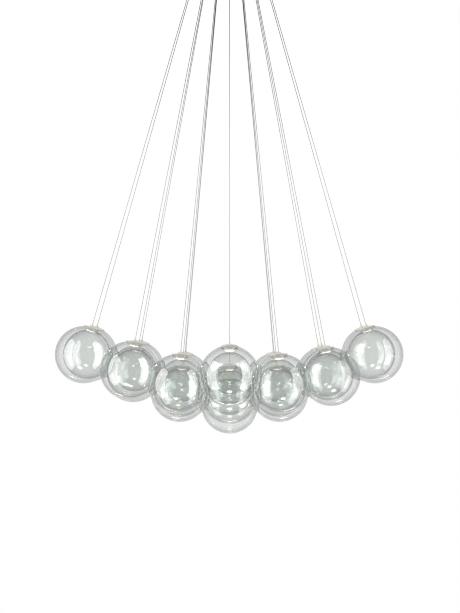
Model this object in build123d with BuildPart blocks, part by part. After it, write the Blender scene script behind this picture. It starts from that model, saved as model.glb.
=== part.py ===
"""Cluster pendant: clear glass globes in a shallow bowl, each on its own cable from one canopy.

Millimetres. The origin is the middle of the ceiling plate's top face, +Z is up and the viewer
stands on the -Y side, so "front" is -Y and "left" is -X.
"""

import os
from collections import namedtuple
from math import cos, hypot, radians, sin, sqrt

from build123d import *

# ---------------------------------------------------------------- globe and its arrangement
globe_d = 140.0
globe_wall = 1.5
globe_gap = 0.8  # between neighbouring globes
opening_d = 34.0  # mouth of the globe, under its cap
rim_round = 1.2  # fire-polished edge of the mouth

# Height of each globe above the lowest one. A column runs from front to back.
middle_rises = [80, 32, 0, 32, 80]
left_rises = {"inner": [60, 33, 33, 60], "outer": [90, 78, 90], "end": [127, 127]}
right_rises = {"inner": [60, 33, 33, 60], "outer": [75, 77, 75], "end": [127, 127]}

drop = 1064.0  # canopy underside down to the centre of the lowest globe
grip_spacing = 33.3  # between the cable grips of two neighbouring pendants

# ---------------------------------------------------------------- pendant head
cable_d = 1.5
cable_clearance = 0.05  # radial, in every bore that the cable fits
cap_t = 1.2
cap_overlap = 4.0  # cap past the mouth of the globe, all round
cap_edge_round = 0.5
cap_clearance = 0.3  # between the carrier's flange and the dome above it
seal_t = 1.0
seal_inset = 0.6  # seal to the cap's edge and to the mouth's edge
seal_clearance = 0.05
boot_h = 9.0
boot_tip_wall = 0.75  # round the cable, at the thin end
boot_shoulder = 2.5  # boot past its shank, all round
boot_hollow = 1.0  # how far the boot's side curves in
shank_wall = 2.25  # round the cable, in the threaded shank under the boot
shank_l = 5.0
shank_clearance = 0.05
boss_wall = 3.0  # round the shank, on top of the carrier
carrier_clearance = 1.5  # carrier inside the mouth, all round
carrier_flange_t = 5.2
carrier_ledge = 2.5  # flange past the step, all round
carrier_step_h = 3.9
carrier_wall = 1.0  # round the lens
carrier_edge_round = 0.6
board_t = 1.0
board_clearance = 0.4
lens_t = 1.5
lens_crown = 0.8
lens_clearance = 0.1
clip_t = 0.6
clip_inset = 0.3  # clip's ring inside the flange, all round
clip_glass_gap = 0.35  # tips of the fingers to the inside of the globe
clip_finger_w = 5.0
clip_fingers = 3
clip_clearance = 0.05

# ---------------------------------------------------------------- canopy
plate_t = 3.0
plate_flange_t = 2.5
plate_flange_h = 14.0
plate_clearance = 0.3  # cover to flange, all round
slot_spacing = 120.0
slot_l = 30.0
slot_w = 5.5
cover_wall = 1.5
cover_round = 6.0
cover_edge = 30.3  # outermost grip to the rim of the canopy
shadow_gap = 1.0  # rim of the cover to the ceiling
cover_screws_n = 3
cover_screw_d = 4.0
cover_screw_shoulder = 2.0  # head past the shank, all round
cover_screw_head_h = 4.0
cover_screw_spare = 1.0  # thread that stands out inside the flange
cover_screw_clearance = 0.25
thread_clearance = 0.05
grip_wall = 3.25  # round the cable, in the threaded part
grip_hole_clearance = 0.1
grip_shoulder = 2.0  # collar past the thread, all round
grip_collar_h = 4.0
grip_nose_h = 8.0
grip_nose_ledge = 1.5  # collar past the nose, all round
grip_mouth_wall = 1.45  # round the cable, at the thin end
grip_spare_thread = 3.0  # thread that stands out past the nut
nut_wall = 2.0  # round the thread, at the flats
nut_h = 4.0
pivot_gap = 0.3  # fixed cable end to the ball end of the hanging cable
tail_l = 12.0  # cable end that stands out of the grip inside the canopy
wiring_room = 4.5  # cable tails to the driver
grommet_bore_d = 10.0
grommet_wall = 5.0
grommet_lip = 3.0
grommet_lip_t = 2.0
grommet_clearance = 0.05
driver_l = 110.0
driver_w = 40.0
driver_h = 22.0
driver_offset = 22.0  # from the grommet
driver_round = 3.0
terminal_w = 18.0
terminal_h = 15.0
terminal_offset = 28.0  # from the grommet
terminal_holes = 3
terminal_hole_d = 4.0
terminal_pitch = 10.0
terminal_end = 3.0  # body past the outermost pitch, each end
terminal_hole_depth = 8.0

# ---------------------------------------------------------------- derived sizes
globe_r = globe_d / 2
pitch = globe_d + globe_gap
cable_r = cable_d / 2
cable_bore_r = cable_r + cable_clearance

mouth_r = opening_d / 2
dome_r = globe_r + seal_t  # underside of the cap
cap_r = mouth_r + cap_overlap
shank_r = cable_r + shank_wall
boot_r = shank_r + boot_shoulder
boss_r = shank_r + boss_wall
carrier_r = mouth_r - carrier_clearance
carrier_step_r = carrier_r - carrier_ledge
pocket_r = carrier_step_r - carrier_wall
lens_r = pocket_r - lens_clearance

boot_seat_z = sqrt((dome_r + cap_t) ** 2 - boot_r**2)
boss_top_z = sqrt(dome_r**2 - boss_r**2)
flange_top_z = sqrt(dome_r**2 - carrier_r**2) - cap_clearance
flange_bottom_z = flange_top_z - carrier_flange_t
carrier_bottom_z = flange_bottom_z - carrier_step_h
board_bottom_z = carrier_bottom_z + lens_t
board_top_z = board_bottom_z + board_t
clip_reach = sqrt((globe_r - globe_wall - clip_glass_gap) ** 2 - flange_bottom_z**2)

grip_r = cable_r + grip_wall
grip_collar_r = grip_r + grip_shoulder
grommet_r = grommet_bore_d / 2 + grommet_wall
grommet_lip_r = grommet_r + grommet_lip

thread_stand = cover_wall + nut_h + grip_spare_thread  # top of a grip above the canopy's underside
canopy_h = plate_t + driver_h + wiring_room + tail_l + thread_stand
thread_top_z = -canopy_h + thread_stand
grip_mouth_z = -canopy_h - grip_collar_h - grip_nose_h
pivot_z = grip_mouth_z - pivot_gap - cable_r
lowest_z = -canopy_h - drop
gathering = grip_spacing / pitch
apex_z = (pivot_z - gathering * lowest_z) / (1 - gathering)  # where all the cable lines meet

# ---------------------------------------------------------------- where each pendant hangs
Pendant = namedtuple("Pendant", "name centre hook swings")


def column_places(rises):
    """(y, rise) of a column's globes, one pitch apart and centred on the middle."""
    first = -(len(rises) - 1) / 2
    return [((first + i) * pitch, rise) for i, rise in enumerate(rises)]


def touching_x(places, neighbours):
    """How far out a column has to stand so that it just clears the column before it."""
    offsets = [0.0]
    for y, rise in places:
        for other_x, other_y, other_rise in neighbours:
            room = pitch**2 - (y - other_y) ** 2 - (rise - other_rise) ** 2
            if room > 0:
                offsets.append(other_x + sqrt(room))
    return max(offsets)


def hang(name, x, y, rise, swings):
    """A pendant whose cable line runs from the globe's centre towards the common apex."""
    centre = Vector(x, y, lowest_z + rise)
    share = (pivot_z - centre.Z) / (apex_z - centre.Z)
    hook = centre + (Vector(0, 0, apex_z) - centre) * share
    return Pendant(name, centre, hook, swings)


def hang_column(name, x, places):
    """The first and the last globe of a column are the cluster's edge, and can swing outwards."""
    last = len(places) - 1
    ends = {0: "front", last: "back"}
    return [
        hang(f"{name}_{ends.get(i, i)}", x, y, rise, swings=i in ends)
        for i, (y, rise) in enumerate(places)
    ]


def hang_all():
    middle = column_places(middle_rises)
    found = hang_column("middle", 0.0, middle)
    for side, sign, columns in (("left", -1, left_rises), ("right", 1, right_rises)):
        neighbours = [(0.0, y, rise) for y, rise in middle]
        for column, rises in columns.items():
            places = column_places(rises)
            x = touching_x(places, neighbours)
            neighbours = [(x, y, rise) for y, rise in places]
            found += hang_column(f"{side}_{column}", sign * x, places)
    return found


pendants = hang_all()
swinging = [p for p in pendants if p.swings]
boxed_in = [p for p in pendants if not p.swings]

canopy_r = max(hypot(p.hook.X, p.hook.Y) for p in pendants) + cover_edge
plate_r = canopy_r - cover_wall - plate_clearance


def cable_line(pendant):
    """Unit vector from the globe's centre up along the cable."""
    return (pendant.hook - pendant.centre).normalized()


def head_location(pendant):
    """Places a piece that was made around the globe's centre with the cable along +Z."""
    up = cable_line(pendant)
    return Plane(origin=pendant.centre, x_dir=Vector(0, 1, 0).cross(up), z_dir=up).location


def round_edges(builder, radius):
    """The circular edges of that radius, lowest first."""
    circles = builder.edges().filter_by(GeomType.CIRCLE)
    return circles.filter_by(lambda edge: abs(edge.radius - radius) < 0.01).sort_by(Axis.Z)


# ---------------------------------------------------------------- the pieces of one pendant
with BuildPart() as globe:
    Sphere(globe_r)
    Sphere(globe_r - globe_wall, mode=Mode.SUBTRACT)
    with BuildSketch():
        Circle(mouth_r)
    extrude(amount=globe_r, mode=Mode.SUBTRACT)
    fillet(round_edges(globe, mouth_r), min(rim_round, globe_wall * 0.45))

with BuildPart() as cap:
    Sphere(dome_r + cap_t)
    Sphere(dome_r, mode=Mode.SUBTRACT)
    with BuildSketch():
        Circle(cap_r)
    extrude(amount=dome_r + cap_t, mode=Mode.INTERSECT)
    with BuildSketch():
        Circle(shank_r + shank_clearance)
    extrude(amount=dome_r + cap_t, mode=Mode.SUBTRACT)
    with BuildSketch(Plane.XY.offset(boot_seat_z)):
        Circle(boot_r)
    extrude(amount=cap_t, mode=Mode.SUBTRACT)
    fillet(round_edges(cap, cap_r)[-1], min(cap_edge_round, cap_t * 0.45))

with BuildPart() as seal:
    Sphere(dome_r - seal_clearance)
    Sphere(globe_r + seal_clearance, mode=Mode.SUBTRACT)
    with BuildSketch():
        Circle(cap_r - seal_inset)
        Circle(mouth_r + seal_inset, mode=Mode.SUBTRACT)
    extrude(amount=dome_r, mode=Mode.INTERSECT)

with BuildPart() as boot:
    with BuildSketch(Plane.XZ):
        with BuildLine():
            Polyline(
                (cable_r + boot_tip_wall, boot_seat_z + boot_h),
                (cable_bore_r, boot_seat_z + boot_h),
                (cable_bore_r, boot_seat_z - shank_l),
                (shank_r, boot_seat_z - shank_l),
                (shank_r, boot_seat_z),
                (boot_r, boot_seat_z),
            )
            SagittaArc(
                (boot_r, boot_seat_z),
                (cable_r + boot_tip_wall, boot_seat_z + boot_h),
                boot_hollow,
            )
        make_face()
    revolve(axis=Axis.Z)

with BuildPart() as carrier:
    with BuildSketch(Plane.XY.offset(flange_bottom_z)):
        Circle(carrier_r)
    extrude(amount=carrier_flange_t)
    with BuildSketch(Plane.XY.offset(carrier_bottom_z)):
        Circle(carrier_step_r)
    extrude(amount=carrier_step_h)
    fillet(round_edges(carrier, carrier_r), min(carrier_edge_round, carrier_flange_t * 0.45))
    with BuildSketch(Plane.XY.offset(flange_top_z)):
        Circle(boss_r)
    extrude(amount=boss_top_z - flange_top_z)
    with BuildSketch(Plane.XY.offset(carrier_bottom_z)):
        Circle(pocket_r)
    extrude(amount=board_top_z - carrier_bottom_z, mode=Mode.SUBTRACT)
    with BuildSketch(Plane.XY.offset(boot_seat_z - shank_l)):
        Circle(shank_r + shank_clearance)
    extrude(amount=shank_l, mode=Mode.SUBTRACT)
    with BuildSketch(Plane.XY.offset(board_top_z)):
        Circle(cable_bore_r)
    extrude(amount=boss_top_z - board_top_z, mode=Mode.SUBTRACT)

with BuildPart() as board:
    with BuildSketch(Plane.XY.offset(board_bottom_z)):
        Circle(pocket_r - board_clearance)
    extrude(amount=board_t)

with BuildPart() as lens:
    with BuildSketch(Plane.XZ):
        with BuildLine():
            Polyline(
                (0, carrier_bottom_z - lens_crown),
                (0, board_bottom_z),
                (lens_r, board_bottom_z),
                (lens_r, carrier_bottom_z),
            )
            RadiusArc(
                (lens_r, carrier_bottom_z),
                (0, carrier_bottom_z - lens_crown),
                (lens_r**2 + lens_crown**2) / (2 * lens_crown),
            )
        make_face()
    revolve(axis=Axis.Z)

with BuildPart() as clip:
    with BuildSketch(Plane.XY.offset(flange_bottom_z - clip_t)):
        Circle(carrier_r - clip_inset)
        with PolarLocations(clip_reach / 2, clip_fingers):
            Rectangle(clip_reach, clip_finger_w)
        Circle(carrier_step_r + clip_clearance, mode=Mode.SUBTRACT)
    extrude(amount=clip_t)

head_pieces = [boot, cap, seal, clip, carrier, board, lens]


def hanging_cable(pendant):
    """Straight cable from the LED board up to its ball end at the mouth of the grip."""
    up = cable_line(pendant)
    side = Vector(0, 1, 0).cross(up).normalized()
    top = (pendant.hook - pendant.centre).length
    with BuildPart() as cable:
        with BuildSketch(Plane(origin=pendant.centre, x_dir=side, z_dir=side.cross(up))):
            with BuildLine():
                Polyline(
                    (0, top + cable_r), (0, board_top_z), (cable_r, board_top_z), (cable_r, top)
                )
                RadiusArc((cable_r, top), (0, top + cable_r), -cable_r)
            make_face()
        revolve(axis=Axis(pendant.centre, up))
    return cable.part


# ---------------------------------------------------------------- the canopy
over_grips = [(p.hook.X, p.hook.Y) for p in pendants]
cover_screw_z = -(plate_t + plate_flange_h) / 2  # half way down the part of the flange that is free
cover_screw_l = cover_wall + plate_clearance + plate_flange_t + cover_screw_spare

screw_seats = []
for i in range(cover_screws_n):
    turn = radians(90 + 360 / cover_screws_n * i)
    outward = Vector(cos(turn), sin(turn), 0)
    seat = outward * canopy_r + Vector(0, 0, cover_screw_z)
    screw_seats.append(Plane(origin=seat, z_dir=outward))

with BuildPart() as ceiling_plate:
    with BuildSketch(Plane.XY):
        Circle(plate_r)
        Circle(grommet_r + grommet_clearance, mode=Mode.SUBTRACT)
        with GridLocations(slot_spacing, 0, 2, 1):
            SlotOverall(slot_l, slot_w, mode=Mode.SUBTRACT)
    extrude(amount=-plate_t)
    with BuildSketch(Plane.XY.offset(-plate_t)):
        Circle(plate_r)
        Circle(plate_r - plate_flange_t, mode=Mode.SUBTRACT)
    extrude(amount=-(plate_flange_h - plate_t))
    with BuildSketch(*screw_seats):
        Circle(cover_screw_d / 2 + thread_clearance)
    extrude(amount=-cover_screw_l, mode=Mode.SUBTRACT)

with BuildPart() as canopy_cover:
    with BuildSketch(Plane.XY.offset(-canopy_h)):
        Circle(canopy_r)
    extrude(amount=canopy_h - shadow_gap)
    fillet(canopy_cover.edges().group_by(Axis.Z)[0], cover_round)
    offset(amount=-cover_wall, openings=canopy_cover.faces().sort_by(Axis.Z)[-1])
    with BuildSketch(Plane.XY.offset(-canopy_h)):
        with Locations(*over_grips):
            Circle(grip_r + grip_hole_clearance)
    extrude(amount=cover_wall, mode=Mode.SUBTRACT)
    with BuildSketch(*screw_seats):
        Circle(cover_screw_d / 2 + cover_screw_clearance)
    extrude(amount=-cover_screw_l, mode=Mode.SUBTRACT)

with BuildPart() as cover_screws:
    with BuildSketch(*screw_seats):
        Circle(cover_screw_d / 2 + cover_screw_shoulder)
    extrude(amount=cover_screw_head_h)
    with BuildSketch(*screw_seats):
        Circle(cover_screw_d / 2)
    extrude(amount=-cover_screw_l)

with BuildPart() as cable_grip:
    with BuildSketch(Plane.XZ):
        with BuildLine():
            Polyline(
                (cable_bore_r, grip_mouth_z),
                (cable_r + grip_mouth_wall, grip_mouth_z),
                (grip_collar_r - grip_nose_ledge, grip_mouth_z + grip_nose_h),
                (grip_collar_r, grip_mouth_z + grip_nose_h),
                (grip_collar_r, -canopy_h),
                (grip_r, -canopy_h),
                (grip_r, thread_top_z),
                (cable_bore_r, thread_top_z),
                close=True,
            )
        make_face()
    revolve(axis=Axis.Z)

with BuildPart() as grip_nut:
    with BuildSketch(Plane.XY.offset(-canopy_h + cover_wall)):
        RegularPolygon(grip_r + nut_wall, 6, major_radius=False)
        Circle(grip_r + thread_clearance, mode=Mode.SUBTRACT)
    extrude(amount=nut_h)

with BuildPart() as cable_tail:
    with BuildSketch(Plane.XY.offset(grip_mouth_z)):
        Circle(cable_r)
    extrude(amount=thread_top_z + tail_l - grip_mouth_z)

with BuildPart() as mains_grommet:
    with BuildSketch(Plane.XY):
        Circle(grommet_r)
    extrude(amount=-plate_t)
    with BuildSketch(Plane.XY.offset(-plate_t)):
        Circle(grommet_lip_r)
    extrude(amount=-grommet_lip_t)
    with BuildSketch(Plane.XY):
        Circle(grommet_bore_d / 2)
    extrude(amount=-(plate_t + grommet_lip_t), mode=Mode.SUBTRACT)

with BuildPart() as led_driver:
    with BuildSketch(Plane.XY.offset(-plate_t)):
        with Locations((0, grommet_lip_r + driver_offset + driver_w / 2)):
            RectangleRounded(driver_l, driver_w, driver_round)
    extrude(amount=-driver_h)
    fillet(led_driver.edges().group_by(Axis.Z)[0], driver_round / 2)

with BuildPart() as terminal_block:
    terminal_front = -(grommet_lip_r + terminal_offset + terminal_w)
    with BuildSketch(Plane.XY.offset(-plate_t)):
        with Locations((0, terminal_front + terminal_w / 2)):
            Rectangle(terminal_holes * terminal_pitch + 2 * terminal_end, terminal_w)
    extrude(amount=-terminal_h)
    front_face = Plane(
        origin=(0, terminal_front, -plate_t - terminal_h / 2), x_dir=(1, 0, 0), z_dir=(0, -1, 0)
    )
    with BuildSketch(front_face):
        with GridLocations(terminal_pitch, 0, terminal_holes, 1):
            Circle(terminal_hole_d / 2)
    extrude(amount=-terminal_hole_depth, mode=Mode.SUBTRACT)


# ---------------------------------------------------------------- one file for each named piece
def write(shape, name):
    shape.label = name
    export_step(shape, f"parts/{name}.step")


def copies(piece, locations):
    """The same piece in several places, each copy a solid of its own."""
    return Compound(children=[piece.part.moved(location) for location in locations])


def write_canopy():
    write(ceiling_plate.part, "ceiling_plate")
    write(canopy_cover.part, "canopy_cover")
    write(cover_screws.part, "cover_screws")
    write(mains_grommet.part, "mains_grommet")
    write(led_driver.part, "led_driver")
    write(terminal_block.part, "terminal_block")
    places = [Location((x, y, 0)) for x, y in over_grips]
    write(copies(cable_grip, places), "cable_grips")
    write(copies(grip_nut, places), "grip_nuts")
    write(copies(cable_tail, places), "cable_tails")


def write_boxed_in():
    """The pendants in the middle of the cluster, one file for each kind of piece."""
    places = [head_location(p) for p in boxed_in]
    write(copies(globe, places), "inner_globes")
    write(copies(boot, places), "inner_cable_boots")
    write(copies(cap, places), "inner_caps")
    write(copies(seal, places), "inner_seal_rings")
    write(copies(clip, places), "inner_globe_clips")
    write(copies(carrier, places), "inner_led_carriers")
    write(copies(board, places), "inner_led_boards")
    write(copies(lens, places), "inner_led_lenses")
    write(Compound(children=[hanging_cable(p) for p in boxed_in]), "inner_cables")


def write_swinging():
    """The pendants at the edge: each has its own globe, head and cable."""
    for pendant in swinging:
        place = head_location(pendant)
        head = [piece.part.moved(place) for piece in head_pieces]
        write(globe.part.moved(place), f"{pendant.name}_globe")
        write(Compound(children=head), f"{pendant.name}_head")
        write(hanging_cable(pendant), f"{pendant.name}_cable")


os.makedirs("parts", exist_ok=True)
write_canopy()
write_boxed_in()
write_swinging()
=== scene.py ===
"""Looks of the cluster pendant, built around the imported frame. Metres, in the frame's coordinates."""

from collections import namedtuple
from math import asin, atan2, cos, hypot, pi, radians, sin, sqrt

import bmesh
import bpy
from mathutils import Matrix, Vector


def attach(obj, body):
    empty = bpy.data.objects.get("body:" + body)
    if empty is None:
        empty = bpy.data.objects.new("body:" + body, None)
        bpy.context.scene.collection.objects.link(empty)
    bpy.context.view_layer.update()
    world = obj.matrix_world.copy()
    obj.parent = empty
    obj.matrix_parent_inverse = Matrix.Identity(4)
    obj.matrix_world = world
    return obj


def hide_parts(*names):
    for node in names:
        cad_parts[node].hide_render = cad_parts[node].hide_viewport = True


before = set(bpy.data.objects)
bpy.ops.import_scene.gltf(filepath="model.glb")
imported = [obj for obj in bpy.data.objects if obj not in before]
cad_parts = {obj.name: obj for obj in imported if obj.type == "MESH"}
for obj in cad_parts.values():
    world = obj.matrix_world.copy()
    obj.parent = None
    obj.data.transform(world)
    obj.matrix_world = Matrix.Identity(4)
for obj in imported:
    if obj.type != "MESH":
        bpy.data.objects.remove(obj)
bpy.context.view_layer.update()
scene = bpy.context.scene

# ---------------------------------------------------------------- sizes, as in the solids
MM = 0.001
GLOBE_R = 70 * MM
WALL = 1.5 * MM
INNER_R = GLOBE_R - WALL
MOUTH_R = 17 * MM
CABLE_R = 0.75 * MM

PITCH = 140.8 * MM  # between the centres of neighbouring globes
LOWEST = -1114 * MM  # centre of the lowest globe
PIVOT = -63.05 * MM  # mouths of the cable grips
GATHERING = 33.3 / 140.8  # spacing of the grips over that of the globes
APEX = (PIVOT - GATHERING * LOWEST) / (1 - GATHERING)  # where the cables' lines meet

# Height of each globe above the lowest one, in mm, from front to back.
COLUMNS = {
    "middle": [80, 32, 0, 32, 80],
    "left_inner": [60, 33, 33, 60],
    "left_outer": [90, 78, 90],
    "left_end": [127, 127],
    "right_inner": [60, 33, 33, 60],
    "right_outer": [75, 77, 75],
    "right_end": [127, 127],
}

# Along the cable, from the centre of the globe.
BOOT_SEAT = 71.99 * MM
CAP_TOP = 72.2 * MM  # radius of the dome's outside
CAP_BOTTOM = 71 * MM  # radius of the dome's inside
BOSS_TOP = 70.7 * MM
FLANGE_TOP = 68.987 * MM
FLANGE_BOTTOM = 63.787 * MM
BOARD_TOP = 62.387 * MM
CARRIER_BOTTOM = 59.887 * MM

Pendant = namedtuple("Pendant", "name body centre hook up")


def touching_x(places, before):
    """How far from the middle a column stands when it touches the column before it."""
    offsets = [0.0]
    for y, rise in places:
        for other_x, other_y, other_rise in before:
            room = PITCH**2 - (y - other_y) ** 2 - (rise - other_rise) ** 2
            if room > 0:
                offsets.append(other_x + sqrt(room))
    return max(offsets)


def all_pendants():
    """The first and last of a column are bodies of their own. The others are boxed in."""
    found = []
    apex = Vector((0, 0, APEX))
    middle = before = []
    for column, rises in COLUMNS.items():
        last = len(rises) - 1
        places = [((i - last / 2) * PITCH, rise * MM) for i, rise in enumerate(rises)]
        if column == "middle":
            x = 0.0
            middle = [(x, y, rise) for y, rise in places]
        else:
            if column.endswith("inner"):
                before = middle
            x = touching_x(places, before)
            before = [(x, y, rise) for y, rise in places]
        side = -1 if column.startswith("left") else 1
        for i, (y, rise) in enumerate(places):
            end = {0: "front", last: "back"}.get(i)
            name = f"{column}_{end or i}"
            centre = Vector((side * x, y, LOWEST + rise))
            hook = centre + (apex - centre) * ((PIVOT - centre.z) / (APEX - centre.z))
            body = name if end else "root"
            found.append(Pendant(name, body, centre, hook, (hook - centre).normalized()))
    return found


# ---------------------------------------------------------------- mesh helpers
def finish_mesh(name, bm, sharp):
    """Smooth shading, but for edges sharper than an angle. An angle of 0 keeps them all smooth."""
    bmesh.ops.recalc_face_normals(bm, faces=bm.faces)
    mesh = bpy.data.meshes.new(name)
    bm.to_mesh(mesh)
    bm.free()
    mesh.shade_smooth()
    if sharp:
        mesh.set_sharp_from_angle(angle=radians(sharp))
    return mesh


def join_rings(bm, a, b):
    """Faces between two rings of points. A ring of one point is a point on the axis."""
    count = max(len(a), len(b))
    for k in range(count):
        n = (k + 1) % count
        if len(a) == 1:
            bm.faces.new((a[0], b[k], b[n]))
        elif len(b) == 1:
            bm.faces.new((a[k], b[0], a[n]))
        else:
            bm.faces.new((a[k], b[k], b[n], a[n]))


def lathe(name, profile, segments=96, closed=False, sharp=35):
    """A profile of (radius, height) turned about Z. A closed profile is a ring's section."""
    bm = bmesh.new()
    turns = [2 * pi * k / segments for k in range(segments)]
    rings = []
    for r, z in profile:
        if r < 1e-7:
            rings.append([bm.verts.new((0, 0, z))])
        else:
            rings.append([bm.verts.new((r * cos(t), r * sin(t), z)) for t in turns])
    pairs = list(zip(rings, rings[1:]))
    if closed:
        pairs.append((rings[-1], rings[0]))
    for a, b in pairs:
        join_rings(bm, a, b)
    return finish_mesh(name, bm, sharp)


def arc(radius, start, end, steps):
    """Points of a circle about the globe's centre, from one angle off the axis to another."""
    angles = [start + (end - start) * i / steps for i in range(steps + 1)]
    return [(radius * sin(angle), radius * cos(angle)) for angle in angles]


def bend(a, corner, b, steps=5):
    """A soft corner between two points of a profile."""
    points = []
    for i in range(steps + 1):
        t = i / steps
        weights = ((1 - t) ** 2, 2 * t * (1 - t), t**2)
        points.append(tuple(sum(w * c for w, c in zip(weights, three)) for three in zip(a, corner, b)))
    return points


def rounded(profile, radius, steps=3):
    """An open profile whose inner corners are rounded by cutting each side back by radius."""
    most = 0.45  # of a side's length, so that both of its ends can be cut
    out = [profile[0]]
    for before, corner, after in zip(profile, profile[1:], profile[2:]):
        ends = []
        for other in (before, after):
            dr, dz = other[0] - corner[0], other[1] - corner[1]
            length = hypot(dr, dz)
            cut = min(radius, length * most)
            ends.append((corner[0] + dr / length * cut, corner[1] + dz / length * cut))
        out += bend(ends[0], corner, ends[1], steps)
    return out + [profile[-1]]


def on_axis(z):
    return (0.0, z)


def at_radius(sphere, r):
    """The point of a sphere's upper half that is r off the axis."""
    return (r, sqrt(sphere**2 - r**2))


# ---------------------------------------------------------------- shapes of one pendant
# Each is made around the globe's centre, with the cable along +Z.
def glass_mesh():
    """A hollow blown ball with a fire-polished mouth."""
    lip = 0.68 * MM
    outer_lip = at_radius(GLOBE_R, MOUTH_R + lip)
    inner_lip = at_radius(INNER_R, MOUTH_R + lip)
    outer_corner = at_radius(GLOBE_R, MOUTH_R)
    inner_corner = at_radius(INNER_R, MOUTH_R)
    profile = arc(GLOBE_R, pi, atan2(*outer_lip), 60)[:-1]
    profile += bend(outer_lip, outer_corner, (MOUTH_R, outer_corner[1] - lip))
    profile += bend((MOUTH_R, inner_corner[1] + lip), inner_corner, inner_lip)
    profile += arc(INNER_R, atan2(*inner_lip), pi, 60)[1:]
    profile[0] = on_axis(-GLOBE_R)
    profile[-1] = on_axis(-INNER_R)
    return lathe("blown_globe", profile, segments=112, sharp=0)


def cap_mesh():
    """Spun dome with a small rolled edge and a seat for the boot."""
    outside, roll = 21 * MM, 0.7 * MM
    fall, tuck = 0.2 * MM, 0.15 * MM  # of the rolled edge, above and below
    bore, seat, seat_edge, seat_t = 3.05 * MM, 5.55 * MM, 5.6 * MM, 0.9 * MM
    edge_top = at_radius(CAP_TOP, outside - roll)
    edge_low = at_radius(CAP_BOTTOM, outside - roll)
    tip = (outside, (edge_top[1] + edge_low[1]) / 2 - tuck)
    profile = [(bore, BOOT_SEAT - seat_t), (bore, BOOT_SEAT), (seat, BOOT_SEAT)]
    profile += arc(CAP_TOP, atan2(*at_radius(CAP_TOP, seat_edge)), atan2(*edge_top), 14)
    profile += bend(edge_top, (outside, edge_top[1] - fall), tip, 4)[1:]
    profile += bend(tip, (outside, edge_low[1] - tuck), edge_low, 4)[1:]
    profile += arc(CAP_BOTTOM, atan2(*edge_low), atan2(bore, CAP_BOTTOM), 14)[1:]
    return lathe("domed_cap", profile, closed=True, sharp=40)


def boot_mesh():
    """Hollow-sided cone that holds the cable, with a bead at its foot and a soft tip."""
    foot, tip, height, hollow = 5.5 * MM, 1.5 * MM, 9 * MM, 1.4 * MM
    bore, shank, shank_l = 0.8 * MM, 3 * MM, 4.9 * MM
    top, shank_end = BOOT_SEAT + height, BOOT_SEAT - shank_l
    steps = 14
    side = []
    for i in range(steps + 1):
        t = i / steps
        straight = foot + (tip - foot) * t
        side.append((straight - hollow * 4 * t * (1 - t), BOOT_SEAT + height * t))
    bead = [
        (foot, BOOT_SEAT),
        (foot + 0.02 * MM, BOOT_SEAT + 0.35 * MM),
        (foot - 0.25 * MM, BOOT_SEAT + 0.75 * MM),
    ]
    crown = [(1.45 * MM, top), (1.15 * MM, top), (bore, top - 0.1 * MM)]
    profile = [(bore, shank_end), (shank, shank_end), (shank, BOOT_SEAT)]
    profile += bead + side[2:-1] + crown
    return lathe("cable_boot", profile, segments=64, closed=True, sharp=40)


def seal_mesh():
    """Flat ring between the cap and the glass, curved as they are."""
    low, high = 70.05 * MM, 70.95 * MM
    inner, outer = 17.6 * MM, 20.4 * MM
    profile = arc(high, asin(inner / high), asin(outer / high), 5)
    profile += arc(low, asin(outer / low), asin(inner / low), 5)
    return lathe("seal_ring", profile, closed=True, sharp=60)


def carrier_mesh():
    """Turned heat sink: boss, flange with two fine grooves, step, and the lens pocket."""
    boss, flange, step, pocket = 6 * MM, 15.5 * MM, 13 * MM, 12 * MM
    groove = 0.35 * MM
    profile = [on_axis(BOSS_TOP), (boss, BOSS_TOP), (boss, FLANGE_TOP), (flange, FLANGE_TOP)]
    for depth in (1.7 * MM, 3.2 * MM):
        z = FLANGE_TOP - depth
        profile += [(flange, z + groove), (flange - groove, z), (flange, z - groove)]
    profile += [
        (flange, FLANGE_BOTTOM),
        (step, FLANGE_BOTTOM),
        (step, CARRIER_BOTTOM),
        (pocket, CARRIER_BOTTOM),
        (pocket, BOARD_TOP),
        on_axis(BOARD_TOP),
    ]
    return lathe("led_carrier", rounded(profile, 0.3 * MM), sharp=40)


def lens_mesh():
    """Opal disc with a slight crown."""
    r, thickness, crown = 11.9 * MM, 1.5 * MM, 0.8 * MM
    top = CARRIER_BOTTOM + thickness
    profile = [on_axis(top), (r, top), (r, CARRIER_BOTTOM)]
    steps = 14
    for i in range(1, steps):
        t = i / steps
        profile.append((r * (1 - t), CARRIER_BOTTOM - crown * (1 - (1 - t) ** 2)))
    profile.append(on_axis(CARRIER_BOTTOM - crown))
    return lathe("led_lens", profile, sharp=45)


def board_mesh():
    """The board with its ring of chips, over the lens."""
    r, thickness = 11.6 * MM, 0.98 * MM
    chips, chip_ring, sunk = 6, 6.5 * MM, 0.2 * MM
    chip_size = Matrix.Diagonal((2.8 * MM, 2.8 * MM, 0.5 * MM, 1))
    low = BOARD_TOP - thickness
    disc = lathe("led_board", [on_axis(BOARD_TOP), (r, BOARD_TOP), (r, low), on_axis(low)], segments=64)
    bm = bmesh.new()
    bm.from_mesh(disc)
    for k in range(chips):
        turn = 2 * pi * k / chips
        where = Matrix.Translation((chip_ring * cos(turn), chip_ring * sin(turn), low - sunk))
        bmesh.ops.create_cube(bm, size=1, matrix=where @ Matrix.Rotation(turn, 4, "Z") @ chip_size)
    bm.to_mesh(disc)
    bm.free()
    return disc


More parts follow.
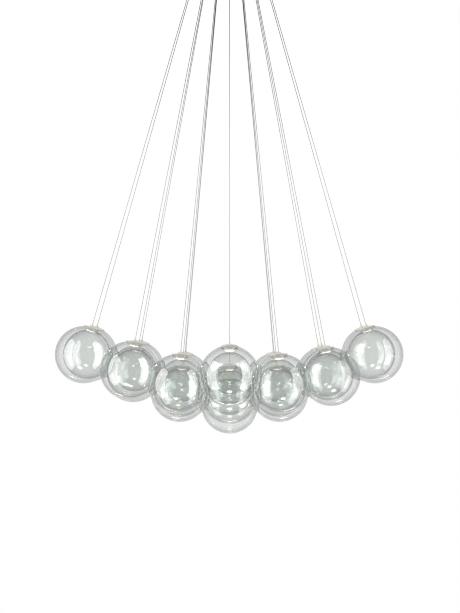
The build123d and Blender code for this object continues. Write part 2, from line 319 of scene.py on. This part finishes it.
def clip_mesh():
    """Stamped spring plate: a ring and three fingers that reach under the glass."""
    bore, ring, reach, half_finger = 13.05 * MM, 15.2 * MM, 23.99 * MM, 2.5 * MM
    thickness, tip_curve = 0.6 * MM, 0.09
    sector = 2 * pi / 3  # of one finger
    count = 360

    def outline(turn):
        """Radius of a finger's tip or side, or of the ring between the fingers."""
        off = abs((turn + sector / 2) % sector - sector / 2)
        tip = reach * (1 - tip_curve * min(1, reach * sin(off) / half_finger) ** 4)
        if tip * sin(off) <= half_finger * cos(off) + 1e-9:
            return tip / cos(off)
        return max(ring, min(half_finger / sin(off), reach))

    turns = [2 * pi * k / count for k in range(count)]
    inside, outside = [bore] * count, [outline(turn) for turn in turns]
    top, low = FLANGE_BOTTOM, FLANGE_BOTTOM - thickness
    bm = bmesh.new()
    rings = []
    for z, radii in ((top, inside), (top, outside), (low, outside), (low, inside)):
        rings.append([bm.verts.new((r * cos(t), r * sin(t), z)) for r, t in zip(radii, turns)])
    for a, b in zip(rings, rings[1:] + rings[:1]):
        join_rings(bm, a, b)
    return finish_mesh("globe_clip", bm, 30)


# ---------------------------------------------------------------- node helpers
def new_material(name):
    material = bpy.data.materials.new(name)
    material.use_nodes = True
    tree = material.node_tree
    return material, tree, tree.nodes["Principled BSDF"]


def add(tree, kind, **values):
    node = tree.nodes.new(kind)
    for key, value in values.items():
        setattr(node, key, value)
    return node


def feed(tree, socket, value):
    """Link the socket to another one, or set it to a number or a colour."""
    if isinstance(value, bpy.types.NodeSocket):
        tree.links.new(value, socket)
    elif isinstance(value, tuple):
        socket.default_value = (*value, 1)
    else:
        socket.default_value = value


def math_node(tree, operation, *values):
    node = add(tree, "ShaderNodeMath", operation=operation)
    for socket, value in zip(node.inputs, values):
        feed(tree, socket, value)
    return node.outputs[0]


def product(tree, first, *others):
    for other in others:
        first = math_node(tree, "MULTIPLY", first, other)
    return first


def mix_colour(tree, factor, a, b):
    node = add(tree, "ShaderNodeMix", data_type="RGBA")
    for socket, value in zip((node.inputs["Factor"], node.inputs[6], node.inputs[7]), (factor, a, b)):
        feed(tree, socket, value)
    return node.outputs[2]


def mix_value(tree, factor, a, b):
    node = add(tree, "ShaderNodeMix", data_type="FLOAT")
    for socket, value in zip((node.inputs[0], node.inputs[2], node.inputs[3]), (factor, a, b)):
        feed(tree, socket, value)
    return node.outputs[0]


def mix_shader(tree, factor, a, b):
    node = add(tree, "ShaderNodeMixShader")
    for socket, value in zip(node.inputs, (factor, a, b)):
        feed(tree, socket, value)
    return node.outputs[0]


def map_range(tree, value, low, high, to_low, to_high, smooth=False):
    node = add(tree, "ShaderNodeMapRange")
    if smooth:
        node.interpolation_type = "SMOOTHSTEP"
    feed(tree, node.inputs["Value"], value)
    for key, number in (("From Min", low), ("From Max", high), ("To Min", to_low), ("To Max", to_high)):
        feed(tree, node.inputs[key], number)
    return node.outputs["Result"]


def coordinates(tree, kind="Object"):
    return add(tree, "ShaderNodeTexCoord").outputs[kind]


def split_xyz(tree, vector):
    node = add(tree, "ShaderNodeSeparateXYZ")
    feed(tree, node.inputs[0], vector)
    return node.outputs


def off_axis(tree, x, y):
    """Distance from the Z axis."""
    squares = [math_node(tree, "MULTIPLY", value, value) for value in (x, y)]
    return math_node(tree, "SQRT", math_node(tree, "ADD", *squares))


def noise(tree, vector, scale, detail=3.0, roughness=0.5):
    node = add(tree, "ShaderNodeTexNoise")
    for key, value in (("Vector", vector), ("Scale", scale), ("Detail", detail), ("Roughness", roughness)):
        feed(tree, node.inputs[key], value)
    return node.outputs["Fac"]


def bump(tree, height, strength, distance, shader):
    node = add(tree, "ShaderNodeBump")
    for key, value in (("Strength", strength), ("Distance", distance), ("Height", height)):
        feed(tree, node.inputs[key], value)
    feed(tree, shader.inputs["Normal"], node.outputs["Normal"])


def light_path(tree, kind):
    return add(tree, "ShaderNodeLightPath").outputs[kind]


def has_bounce(tree, kind):
    """1 on a path with a bounce of that kind, such as Glossy Depth, and 0 on others."""
    return math_node(tree, "GREATER_THAN", light_path(tree, kind), 0.5)


def surface(material, shader):
    """Make this the material's surface, and keep it from being sampled as a lamp."""
    tree = material.node_tree
    feed(tree, tree.nodes["Material Output"].inputs["Surface"], shader)
    material.cycles.emission_sampling = "NONE"


# ---------------------------------------------------------------- materials
def turning_marks(tree):
    """Noise that only changes with the radius and the height, as a lathe leaves it."""
    marks_per_metre = 5200.0
    x, y, z = split_xyz(tree, coordinates(tree))
    join = add(tree, "ShaderNodeCombineXYZ")
    feed(tree, join.inputs[0], math_node(tree, "MULTIPLY", off_axis(tree, x, y), marks_per_metre))
    feed(tree, join.inputs[1], math_node(tree, "MULTIPLY", z, marks_per_metre))
    return noise(tree, join.outputs[0], 1.0, 4.0, 0.6)


def glass_material():
    """Clear glass with a trace of green, a little darker where it is seen at a slant."""
    material, tree, shader = new_material("clear_blown_glass")
    cloud = noise(tree, coordinates(tree), 9.0, 2.0)
    cloud = map_range(tree, cloud, 0.35, 0.65, 0, 1)
    tint = mix_colour(tree, cloud, (0.954, 0.967, 0.960), (0.962, 0.974, 0.967))
    slant = add(tree, "ShaderNodeLayerWeight").outputs["Facing"]
    slant = map_range(tree, slant, 0.15, 0.60, 0, 1, smooth=True)
    feed(tree, shader.inputs["Base Color"], mix_colour(tree, slant, tint, (0.925, 0.935, 0.930)))
    shader.inputs["Roughness"].default_value = 0.0
    shader.inputs["IOR"].default_value = 1.6
    shader.inputs["Transmission Weight"].default_value = 1.0
    bump(tree, noise(tree, coordinates(tree), 16.0, 1.0), 0.03, 0.0006, shader)
    return material


def metal_material(name, light, dark, rough, marks=True, metallic=1.0):
    """Metal with turning marks, or with an even grain."""
    material, tree, shader = new_material(name)
    cloud = noise(tree, coordinates(tree), 60.0, 4.0)
    lines = turning_marks(tree) if marks else noise(tree, coordinates(tree), 900.0, 4.0)
    halves = [math_node(tree, "MULTIPLY", value, 0.5) for value in (cloud, lines)]
    blend = map_range(tree, math_node(tree, "ADD", *halves), 0.35, 0.65, 0, 1)
    feed(tree, shader.inputs["Base Color"], mix_colour(tree, blend, dark, light))
    feed(tree, shader.inputs["Roughness"], map_range(tree, lines, 0.3, 0.7, rough - 0.06, rough + 0.08))
    shader.inputs["Metallic"].default_value = metallic
    bump(tree, lines, 0.15, 0.00004, shader)
    return material


def plastic_material(name, light, dark, rough):
    """Moulded plastic or rubber with a fine grain."""
    material, tree, shader = new_material(name)
    grain = noise(tree, coordinates(tree), 1500.0)
    cloud = map_range(tree, noise(tree, coordinates(tree), 25.0), 0.35, 0.65, 0, 1)
    feed(tree, shader.inputs["Base Color"], mix_colour(tree, cloud, dark, light))
    feed(tree, shader.inputs["Roughness"], map_range(tree, grain, 0.3, 0.7, rough - 0.07, rough + 0.07))
    bump(tree, grain, 0.3, 0.00005, shader)
    return material


def lens_material():
    """Opal disc: white in the middle and warmer towards its edge. Its mirror images are brighter."""
    material, tree, shader = new_material("opal_led_lens")
    x, y, _ = split_xyz(tree, coordinates(tree))
    edge = map_range(tree, off_axis(tree, x, y), 0.0080, 0.0117, 0, 1, smooth=True)
    ripple = noise(tree, coordinates(tree), 700.0, 2.0)
    direct = map_range(tree, edge, 0, 1, 1.3, 0.55)
    mirrored = product(tree, has_bounce(tree, "Glossy Depth"), map_range(tree, edge, 0, 1, 7.5, 0.6))
    level = math_node(tree, "ADD", direct, mirrored)
    level = product(tree, level, map_range(tree, ripple, 0, 1, 0.92, 1.08))
    feed(tree, shader.inputs["Emission Color"], mix_colour(tree, edge, (1.0, 0.93, 0.80), (1.0, 0.74, 0.48)))
    feed(tree, shader.inputs["Emission Strength"], level)
    feed(tree, shader.inputs["Base Color"], mix_colour(tree, ripple, (0.95, 0.9, 0.82), (1.0, 0.96, 0.9)))
    shader.inputs["Roughness"].default_value = 0.45
    material.cycles.emission_sampling = "NONE"
    return material


def cable_material():
    """Grey jacket with the faint twist of the cores under it, and painted shade that darkens it to near
    black towards the canopy.
    """
    material, tree, shader = new_material("grey_cable_jacket")
    wave = add(tree, "ShaderNodeTexWave", wave_type="BANDS", bands_direction="DIAGONAL")
    for key, value in (("Vector", coordinates(tree)), ("Scale", 90.0), ("Distortion", 0.6)):
        feed(tree, wave.inputs[key], value)
    twist = wave.outputs["Fac"]
    cloud = noise(tree, coordinates(tree), 40.0)
    _, _, z = split_xyz(tree, coordinates(tree))
    # Painted shade: the jacket's colour runs from grey low down to near black towards the canopy. It stands
    # in for the shade where the cables gather under the ceiling.
    height = map_range(tree, z, -0.56, -0.12, 0, 1)
    low = mix_colour(tree, cloud, (0.45, 0.45, 0.44), (0.53, 0.53, 0.52))
    high = mix_colour(tree, cloud, (0.055, 0.055, 0.055), (0.08, 0.08, 0.08))
    feed(tree, shader.inputs["Base Color"], mix_colour(tree, height, low, high))
    feed(tree, shader.inputs["Roughness"], map_range(tree, twist, 0, 1, 0.34, 0.46))
    bump(tree, twist, 0.2, 0.00006, shader)
    return material


def seal_material():
    """Translucent silicone."""
    material, tree, shader = new_material("clear_silicone")
    cloud = noise(tree, coordinates(tree), 120.0)
    feed(tree, shader.inputs["Base Color"], mix_colour(tree, cloud, (0.86, 0.88, 0.87), (0.93, 0.94, 0.93)))
    feed(tree, shader.inputs["Roughness"], map_range(tree, cloud, 0.3, 0.7, 0.35, 0.5))
    shader.inputs["Transmission Weight"].default_value = 0.45
    shader.inputs["IOR"].default_value = 1.41
    return material


glass = glass_material()
champagne = metal_material("satin_champagne", (0.73, 0.71, 0.645), (0.68, 0.66, 0.595), 0.36, metallic=0.5)
# Painted light: the carriers' champagne is set much lighter than the caps'. It stands in for light that
# reaches the carriers inside the glass.
turned = metal_material("turned_champagne_painted_light", (0.94, 0.90, 0.82), (0.88, 0.84, 0.76), 0.42, metallic=0.3)
nickel = metal_material("nickel", (0.70, 0.69, 0.67), (0.60, 0.59, 0.57), 0.28)
spring = metal_material(
    "spring_steel", (0.78, 0.76, 0.70), (0.68, 0.66, 0.61), 0.36, marks=False, metallic=0.3
)
zinc = metal_material("zinc_plate", (0.72, 0.73, 0.75), (0.58, 0.60, 0.63), 0.42, marks=False)
board_white = plastic_material("white_solder_mask", (0.92, 0.92, 0.88), (0.85, 0.85, 0.81), 0.4)
housing = plastic_material("driver_housing", (0.90, 0.90, 0.89), (0.84, 0.84, 0.83), 0.55)
terminal = plastic_material("terminal_housing", (0.88, 0.88, 0.84), (0.80, 0.80, 0.76), 0.5)
rubber = plastic_material("black_rubber", (0.035, 0.035, 0.036), (0.02, 0.02, 0.02), 0.65)
opal = lens_material()
jacket = cable_material()
silicone = seal_material()

# ---------------------------------------------------------------- the pendants
SHAPES = [
    # shape, mesh, material, record's slot, the boxed-in pendants' node
    ("glass", glass_mesh(), glass, "clear_glass", "inner_globes"),
    ("cap", cap_mesh(), champagne, "cap_metal", "inner_caps"),
    ("boot", boot_mesh(), champagne, "cap_metal", "inner_cable_boots"),
    ("seal", seal_mesh(), silicone, "seal_silicone", "inner_seal_rings"),
    ("clip", clip_mesh(), spring, "spring_steel", "inner_globe_clips"),
    ("carrier", carrier_mesh(), turned, "carrier_metal", "inner_led_carriers"),
    ("board", board_mesh(), board_white, "board", "inner_led_boards"),
    ("lens", lens_mesh(), opal, "opal_lens", "inner_led_lenses"),
]
for _, mesh, material, _, _ in SHAPES:
    mesh.materials.append(material)


def link(name, data):
    piece = bpy.data.objects.new(name, data)
    scene.collection.objects.link(piece)
    return piece


def place_of(pendant):
    """The globe's centre, with +Z along the cable."""
    up = pendant.up
    side = Vector((0, 1, 0)).cross(up).normalized()
    turn = Matrix((side, up.cross(side), up)).transposed().to_4x4()
    return Matrix.Translation(pendant.centre) @ turn


def dress_head(pendant):
    """Globe, cap and all that sits in its mouth."""
    place = place_of(pendant)
    for shape, mesh, _, slot, inner_node in SHAPES:
        name = f"{pendant.name}_{shape}_piece"
        if shape == "glass":
            # Turned in the mesh, so that the object's box is the ball's own.
            mesh = mesh.copy()
            mesh.transform(place.to_3x3().to_4x4())
            piece = link(name, mesh)
            piece.location = pendant.centre
        else:
            piece = link(name, mesh)
            piece.matrix_world = place
        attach(piece, pendant.body)
        if pendant.body == "root":
            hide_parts(inner_node)
        else:
            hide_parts(f"{pendant.name}_globe" if shape == "glass" else f"{pendant.name}_head")


def hang_cord(pendant):
    """Taut cable from the mouth of its grip down to the LED board."""
    start = pendant.centre + pendant.up * BOARD_TOP
    end = pendant.hook + pendant.up * CABLE_R
    line = bpy.data.curves.new(f"{pendant.name}_line", "CURVE")
    line.dimensions = "3D"
    spline = line.splines.new("NURBS")
    spline.points.add(2)
    for point, where in zip(spline.points, (end, (start + end) / 2, start)):
        point.co = (*where, 1)
    spline.order_u = 3
    spline.use_endpoint_u = True
    line.bevel_depth = CABLE_R
    line.bevel_resolution = 3
    line.use_fill_caps = True
    line.materials.append(jacket)
    cord = link(f"{pendant.name}_cord", line)
    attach(cord, pendant.body)
    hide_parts("inner_cables" if pendant.body == "root" else f"{pendant.name}_cable")


for pendant in all_pendants():
    dress_head(pendant)
    hang_cord(pendant)

# ---------------------------------------------------------------- the canopy's own nodes
CANOPY = {
    "ceiling_plate": zinc,
    "canopy_cover": champagne,
    "cover_screws": nickel,
    "mains_grommet": rubber,
    "led_driver": housing,
    "terminal_block": terminal,
    "cable_grips": champagne,
    "grip_nuts": nickel,
    # The jacket's painted shade makes these tails near black.
    "cable_tails": jacket,
}
for node, material in CANOPY.items():
    for material_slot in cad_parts[node].material_slots:
        material_slot.material = material

# ---------------------------------------------------------------- floor
FLOOR_Z = -2.0
PALE_R, WHITE_R, FLOOR_R = 0.9, 1.8, 2.3


def floor_material():
    """Pale floor that takes the object's shadow, and is the background's white further out.

    Reflections and views from below pass through it.
    """
    material, tree, shader = new_material("studio_floor")
    x, y, _ = split_xyz(tree, coordinates(tree))
    shader.inputs["Base Color"].default_value = (0.93, 0.93, 0.93, 1)
    shader.inputs["Roughness"].default_value = 0.9
    far = map_range(tree, off_axis(tree, x, y), PALE_R, WHITE_R, 0, 1, smooth=True)
    seen = mix_shader(tree, far, shader.outputs[0], add(tree, "ShaderNodeEmission").outputs[0])
    underside = add(tree, "ShaderNodeNewGeometry").outputs["Backfacing"]
    unseen = math_node(tree, "MAXIMUM", has_bounce(tree, "Glossy Depth"), underside)
    through = add(tree, "ShaderNodeBsdfTransparent").outputs[0]
    surface(material, mix_shader(tree, unseen, seen, through))
    return material


floor_mesh = lathe("floor_disc", [on_axis(0.0), (PALE_R, 0.0), (WHITE_R, 0.0), (FLOOR_R, 0.0)])
floor_mesh.materials.append(floor_material())
floor = link("studio_floor", floor_mesh)
floor.location = (0, 0, FLOOR_Z)

# ---------------------------------------------------------------- light panels
PANEL_Z = -0.97  # middle of the panels, level with the globes
PANEL_EDGE = 0.05  # width of a panel's soft edge, as a share of the panel
PANEL_DIM = 0.25  # light of the panel's outermost edge


def panel_material(name, far_light, near_light):
    """A soft light that only sharp reflections show. All else passes through it."""
    material, tree, _ = new_material(name)
    u, v, _ = split_xyz(tree, coordinates(tree, "UV"))
    fades = []
    for along in (u, v):
        fades.append(map_range(tree, along, 0.0, PANEL_EDGE, 0, 1, smooth=True))
        fades.append(map_range(tree, along, 1 - PANEL_EDGE, 1.0, 1, 0, smooth=True))
    level = product(tree, *fades, map_range(tree, u, 0, 1, far_light, near_light))
    glow = add(tree, "ShaderNodeEmission")
    feed(tree, glow.inputs["Strength"], math_node(tree, "ADD", level, PANEL_DIM))
    unscattered = math_node(tree, "LESS_THAN", light_path(tree, "Diffuse Depth"), 0.5)
    shown = product(tree, has_bounce(tree, "Glossy Depth"), light_path(tree, "Is Singular Ray"), unscattered)
    through = add(tree, "ShaderNodeBsdfTransparent").outputs[0]
    surface(material, mix_shader(tree, shown, through, glow.outputs[0]))
    return material


def light_panel(name, far, near, half_heights, lights):
    """An upright panel from its far edge to its edge nearer the viewer, both as (x, y)."""
    far_half, near_half = half_heights
    corners = [(*far, -far_half), (*near, -near_half), (*near, near_half), (*far, far_half)]
    mesh = bpy.data.meshes.new(name)
    mesh.from_pydata([(x, y, z + PANEL_Z) for x, y, z in corners], [], [(0, 1, 2, 3)])
    layer = mesh.uv_layers.new(name="panel")
    for loop, uv in zip(layer.data, ((0, 0), (1, 0), (1, 1), (0, 1))):
        loop.uv = uv
    mesh.materials.append(panel_material(name, *lights))
    link(name, mesh)


light_panel("left_light_panel", (-1.00, -0.18), (-1.88, -1.83), (0.95, 2.4), (3.1, 2.5))
light_panel("right_light_panel", (0.87, -0.22), (1.62, -1.73), (0.95, 2.4), (1.7, 2.3))


# ---------------------------------------------------------------- world
def studio_world():
    """What a ray finds beyond the scene, from its direction and its path. 1 is plain white.

    The camera finds white, also through the glass. Sharp reflections find a dim studio with a
    backdrop behind the object, soft ones an even room with a light box on each side, and light
    that a matt surface has scattered comes from a sky that is brighter above and on the left.
    """
    left_box, right_box = 0.9, 0.2
    world = bpy.data.worlds.new("studio")
    scene.world = world
    world.use_nodes = True
    tree = world.node_tree
    x, y, z = split_xyz(tree, coordinates(tree, "Generated"))

    backdrop = map_range(tree, y, 0.72, 0.86, 0, 1, smooth=True)
    ground = map_range(tree, z, -0.9, 0.5, 0.32, 0.10)
    studio = math_node(tree, "ADD", ground, math_node(tree, "MULTIPLY", backdrop, 0.42))

    across = math_node(tree, "MAXIMUM", math_node(tree, "ABSOLUTE", x), 0.0001)
    along = math_node(tree, "DIVIDE", y, across)
    lift = math_node(tree, "ABSOLUTE", math_node(tree, "DIVIDE", z, across))
    boxes = product(
        tree,
        map_range(tree, along, -0.86, -0.80, 0, 1, smooth=True),
        map_range(tree, along, -0.02, 0.04, 1, 0, smooth=True),
        map_range(tree, lift, 1.66, 1.74, 1, 0, smooth=True),
        mix_value(tree, math_node(tree, "LESS_THAN", x, 0.0), right_box, left_box),
    )
    room = math_node(tree, "ADD", map_range(tree, z, -1.0, 1.0, 0.62, 0.88), boxes)

    sky = map_range(tree, z, -1.0, 1.0, 0.82, 1.12)
    sky = math_node(tree, "SUBTRACT", sky, math_node(tree, "MULTIPLY", x, 0.3))

    reflected = mix_value(tree, light_path(tree, "Is Singular Ray"), room, studio)
    unscattered = mix_value(tree, has_bounce(tree, "Glossy Depth"), 1.0, reflected)
    background = tree.nodes["Background"]
    background.inputs["Color"].default_value = (1, 1, 1, 1)
    level = mix_value(tree, has_bounce(tree, "Diffuse Depth"), unscattered, sky)
    feed(tree, background.inputs["Strength"], level)
    world.cycles.sampling_method = "NONE"


studio_world()

# ---------------------------------------------------------------- light through many layers of glass
scene.cycles.max_bounces = 48
scene.cycles.min_light_bounces = 48
scene.cycles.transmission_bounces = 48
scene.cycles.glossy_bounces = 24
scene.cycles.transparent_max_bounces = 32
scene.cycles.use_adaptive_sampling = False
scene.cycles.blur_glossy = 0.0
scene.cycles.filter_width = 1.15

# ---------------------------------------------------------------- camera, as in the photograph
PHOTO_W, PHOTO_H = 460, 613
FOCAL_PX = 1436.9
MIDDLE_COLUMN, HORIZON_ROW = 229.6, 340.5  # the pixel straight ahead of the camera
SENSOR = 36
camera_data = bpy.data.cameras.new("photo_camera")
camera_data.sensor_fit = "AUTO"
camera_data.sensor_width = SENSOR
camera_data.lens = FOCAL_PX * SENSOR / PHOTO_H
camera_data.shift_x = (PHOTO_W / 2 - MIDDLE_COLUMN) / PHOTO_H
camera_data.shift_y = (HORIZON_ROW - PHOTO_H / 2) / PHOTO_H
camera_data.clip_end = 100
camera = link("photo_camera", camera_data)
camera.location = (0, -3.580, -0.9523)
camera.rotation_euler = (radians(90), 0, 0)
scene.camera = camera
scene.view_settings.view_transform = "Standard"
